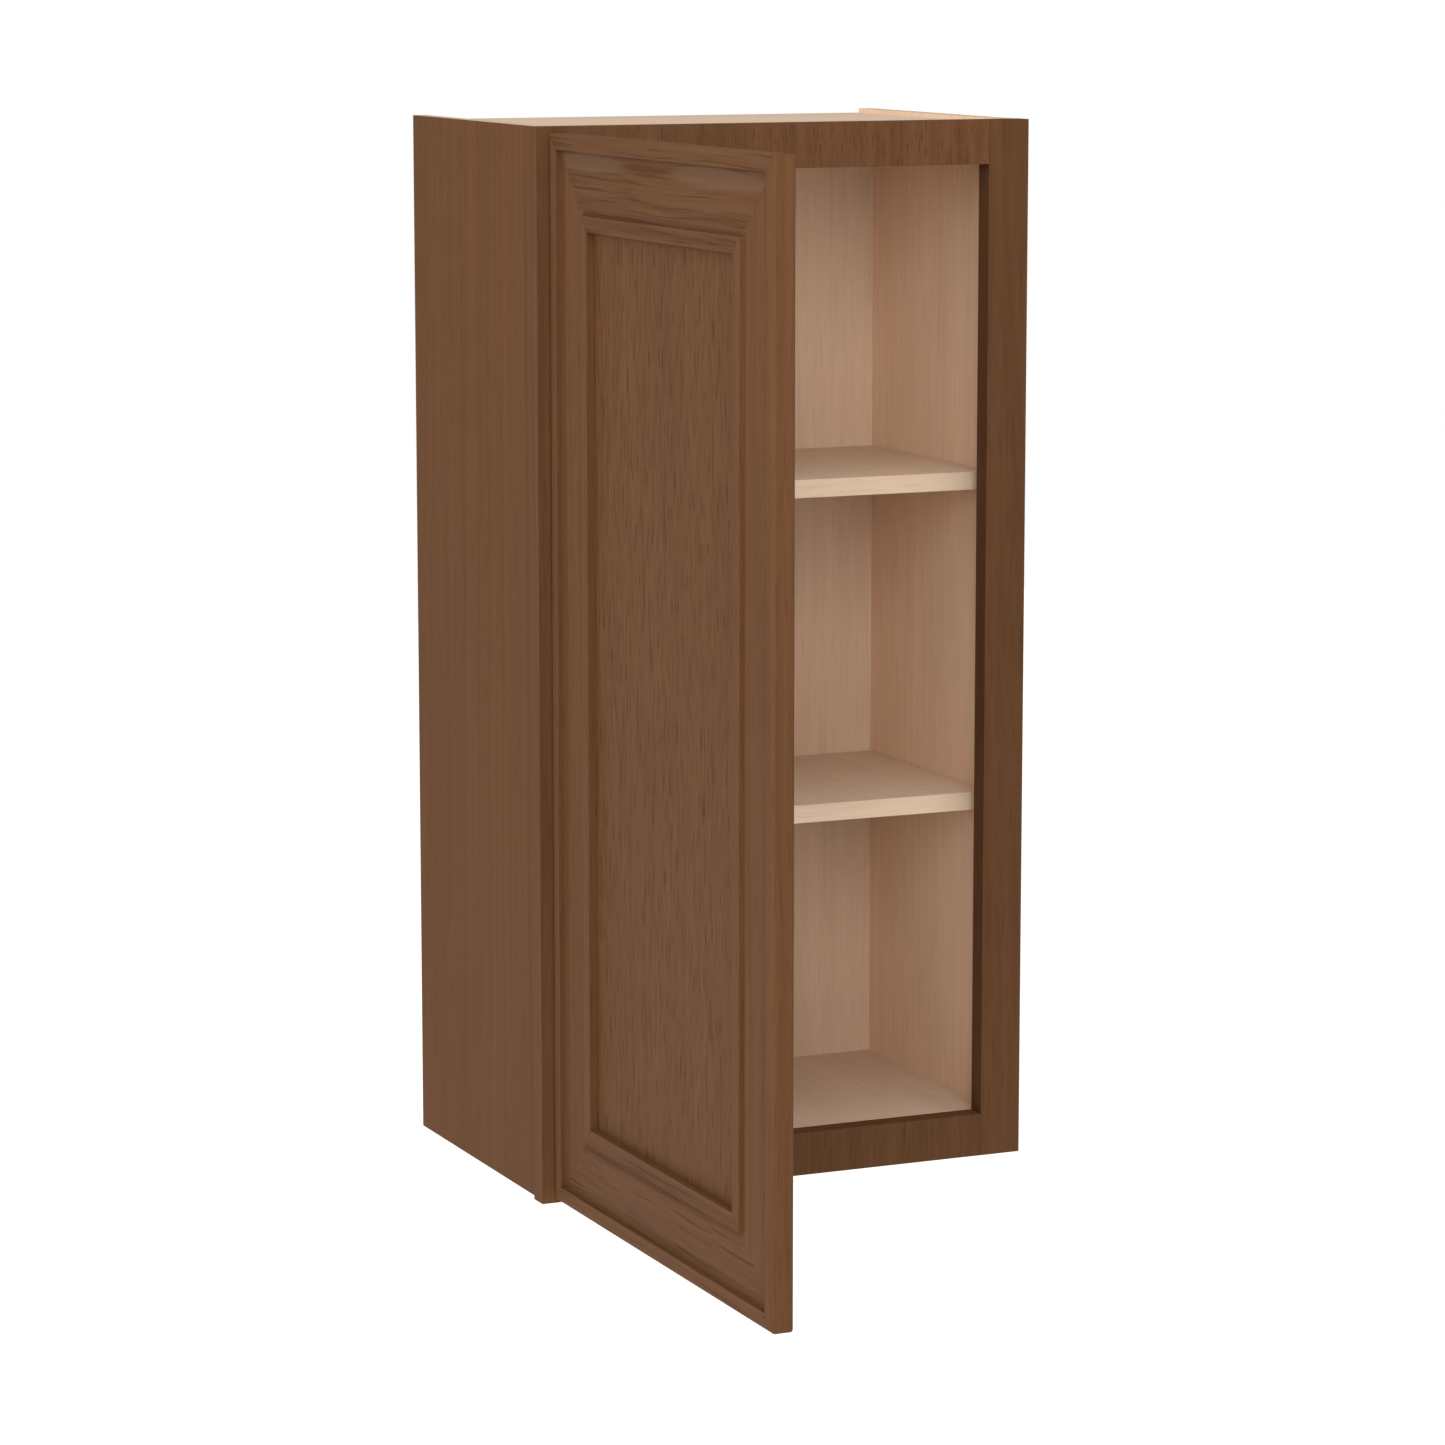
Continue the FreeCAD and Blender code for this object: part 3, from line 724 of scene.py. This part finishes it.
def makeDoor():
    low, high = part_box("door_stile_hinged")
    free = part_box("door_stile_free")[0]
    down, up, out = Vector((0, 0, -1)), Vector((0, 0, 1)), Vector((0, -1, 0))
    width = high.y - free.y
    height = high.z - low.z
    face = low.x
    # painted shade lines in the moulding's corners, on the bars and on the panel
    glaze = {"low": free, "high": high, "depth": door["glazeDepth"], "colour": door["glazeColour"],
             "lines": door["glazeLines"]}
    grainAndHighlightSpots = [{**spot, "at": (face, high.z - spot["down"], high.y - spot["along"])}
             for spot in railGrainAndHighlightSpots]
    # piece, node, outer corner, way across, way along, length, way of the grain, seed, other wood
    bars = [
        ("doorStileHinged", "door_stile_hinged", high.y, low.z, out, up, height, "Z", 13.0, {}),
        ("doorStileFree", "door_stile_free", free.y, low.z, -out, up, height, "Z", 14.0, {}),
        ("doorRailTop", "door_rail_top", high.y, high.z, down, out, width, "Y", 15.0,
         {**railFigure, "grainAndHighlightSpots": grainAndHighlightSpots, "tone": topRailTone}),
        ("doorRailBottom", "door_rail_bottom", high.y, low.z, up, out, width, "Y", 16.0,
         railFigure),
    ]
    for name, node, y, z, across, along, length, axis, seed, changes in bars:
        bar = mouldedBar(name, (face, y, z), across, along, length)
        easeEdges(bar, door["ease"], door["easeSteps"], door["edgeAngle"])
        cutters = [cadCopy("door_mitre_splines", "splineCutter")]
        if name == "doorStileHinged":
            cutters += [cadCopy("hinge_cup_screws", "screwCutter"), cupBore("lower"), cupBore("upper")]
        cutAway(bar, cutters)
        smoothBy(bar, door["edgeAngle"])
        finishPiece(bar, "door", node,
                    wood(name, brownStain, axis, seed, glaze=glaze, **changes))
    panel = cadCopy("door_panel", "doorPanel")
    easeEdges(panel, door["panelEase"])
    smoothBy(panel)
    finishPiece(panel, "door", "door_panel",
                wood("doorPanel", brownStain, "Z", door["panelSeed"], glaze=glaze, **panelFigure))
    dress("door_mitre_splines", beech)
    dress("door_panel_spacers", spacerRubber)


# hinges: arm, links and cup, each with its edges rolled

hingeLook = {
    "easeSteps": 2, "edgeAngle": 35,
    # node without its side: piece name, body, edge radius
    "parts": {
        "hinge_arm_": ("hingeArm", "cabinet", 0.2 * mm),
        "hinge_inner_link_": ("hingeInnerLink", "hinge_links", 0.25 * mm),
        "hinge_outer_link_": ("hingeOuterLink", "hinge_outer_links", 0.15 * mm),
        "hinge_cup_": ("hingeCup", "door", 0.2 * mm),
    },
}


def makeHinges():
    for node, (name, body, ease) in hingeLook["parts"].items():
        for side in ("lower", "upper"):
            part = cadCopy(node + side, name + side.capitalize())
            easeEdges(part, ease, hingeLook["easeSteps"], hingeLook["edgeAngle"])
            smoothBy(part, hingeLook["edgeAngle"])
            finishPiece(part, body, node + side, nickel)
    dress("hinge_arm_pins", nickel)
    dress("hinge_cup_pins", nickel)


# screws: round head with a cross recess, modelled once for each kind

screw = {
    "headRadius": 3.4 * mm, "shankRadius": 1.75 * mm, "sides": 32, "smoothAngle": 40,
    "dome": 0.55, "domeSteps": 4, "tipShare": 0.2, "tipTaper": 0.25,
    "crossWide": 0.75 * mm, "crossLong": 3.6 * mm, "crossDeep": 0.5 * mm,
    # the CAD node and the body, head height, how far the shank goes in, half the pair's spread along Z
    "arm": {"node": "hinge_arm_screws", "body": "cabinet", "head": 1.6 * mm, "long": 17.2 * mm,
            "spread": 15.0 * mm},
    "cup": {"node": "hinge_cup_screws", "body": "door", "head": 0.7 * mm, "long": 11.8 * mm,
            "spread": 22.5 * mm},
}


def makeScrew(kind, seat):
    # the head faces right, and the shank runs to the left from the seat
    size = screw[kind]
    deselect()
    bpy.ops.mesh.primitive_cylinder_add(vertices=screw["sides"], radius=screw["headRadius"],
                                        depth=size["head"], rotation=(0, math.pi / 2, 0),
                                        location=seat + Vector((size["head"] / 2, 0, 0)))
    body = bpy.context.object
    settle(body)
    chooseFaces(body, facesRight)
    bpy.ops.mesh.bevel(offset=size["head"] * screw["dome"], segments=screw["domeSteps"],
                       affect="EDGES")
    chooseFaces(body, facesLeft)
    bpy.ops.mesh.inset(thickness=screw["headRadius"] - screw["shankRadius"])
    for share in (1 - screw["tipShare"], screw["tipShare"]):
        step = (-size["long"] * share, 0, 0)
        bpy.ops.mesh.extrude_region_move(TRANSFORM_OT_translate={"value": step})
    tip = seat - Vector((size["long"], 0, 0))
    bpy.ops.transform.resize(value=(1, screw["tipTaper"], screw["tipTaper"]), center_override=tip)
    bpy.ops.object.mode_set(mode="OBJECT")
    recess = []
    cross = (screw["crossWide"], screw["crossLong"])
    for wide, tall in (cross, reversed(cross)):
        deselect()
        bpy.ops.mesh.primitive_cube_add(size=1, location=seat + Vector((size["head"], 0, 0)))
        bar = bpy.context.object
        bar.scale = (screw["crossDeep"] * 2, wide, tall)
        settle(bar)
        recess.append(bar)
    cutAway(body, recess)
    return body


def makeScrews():
    for kind in ("arm", "cup"):
        size = screw[kind]
        allLow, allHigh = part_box(size["node"])
        row = (allLow.y + allHigh.y) / 2
        heights = []
        for side in ("lower", "upper"):
            low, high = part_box("hinge_" + kind + "_" + side)
            heights += [(low.z + high.z) / 2 + way * size["spread"] for way in (-1, 1)]
        first = makeScrew(kind, Vector((allHigh.x - size["head"], row, heights[0])))
        copies = [first]
        for height in heights[1:]:
            other = copyOf(first)
            other.location.z += height - heights[0]
            settle(other)
            copies.append(other)
        screws = joined(copies, "hinge" + kind.capitalize() + "Screws")
        smoothBy(screws, screw["smoothAngle"])
        finishPiece(screws, size["body"], size["node"], zinc)


# bumpers: soft domes on the back of the door

bumper = {"radius": 4.75 * mm, "dome": 1.5 * mm, "steps": 6, "sides": 40, "smoothAngle": 50}


def makeBumpers():
    low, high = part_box("door_bumpers")
    thick = high.x - low.x
    domes = []
    for z in (low.z + bumper["radius"], high.z - bumper["radius"]):
        deselect()
        bpy.ops.mesh.primitive_cylinder_add(vertices=bumper["sides"], radius=bumper["radius"],
                                            depth=thick, rotation=(0, math.pi / 2, 0),
                                            location=((low.x + high.x) / 2, (low.y + high.y) / 2, z))
        dome = bpy.context.object
        settle(dome)
        chooseFaces(dome, facesRight)
        bpy.ops.mesh.bevel(offset=bumper["dome"], segments=bumper["steps"], affect="EDGES")
        bpy.ops.object.mode_set(mode="OBJECT")
        domes.append(dome)
    bumpers = joined(domes, "doorBumpers")
    smoothBy(bumpers, bumper["smoothAngle"])
    finishPiece(bumpers, "door", "door_bumpers", bumperGel)


makeFaceFrame()
dress("frame_dowels", beech)
print("face frame done")
makeCase()
makeShelves()
print("case and shelves done")
makeDoor()
print("door done")
makeHinges()
makeScrews()
makeBumpers()
print("hinges, screws and bumpers done")
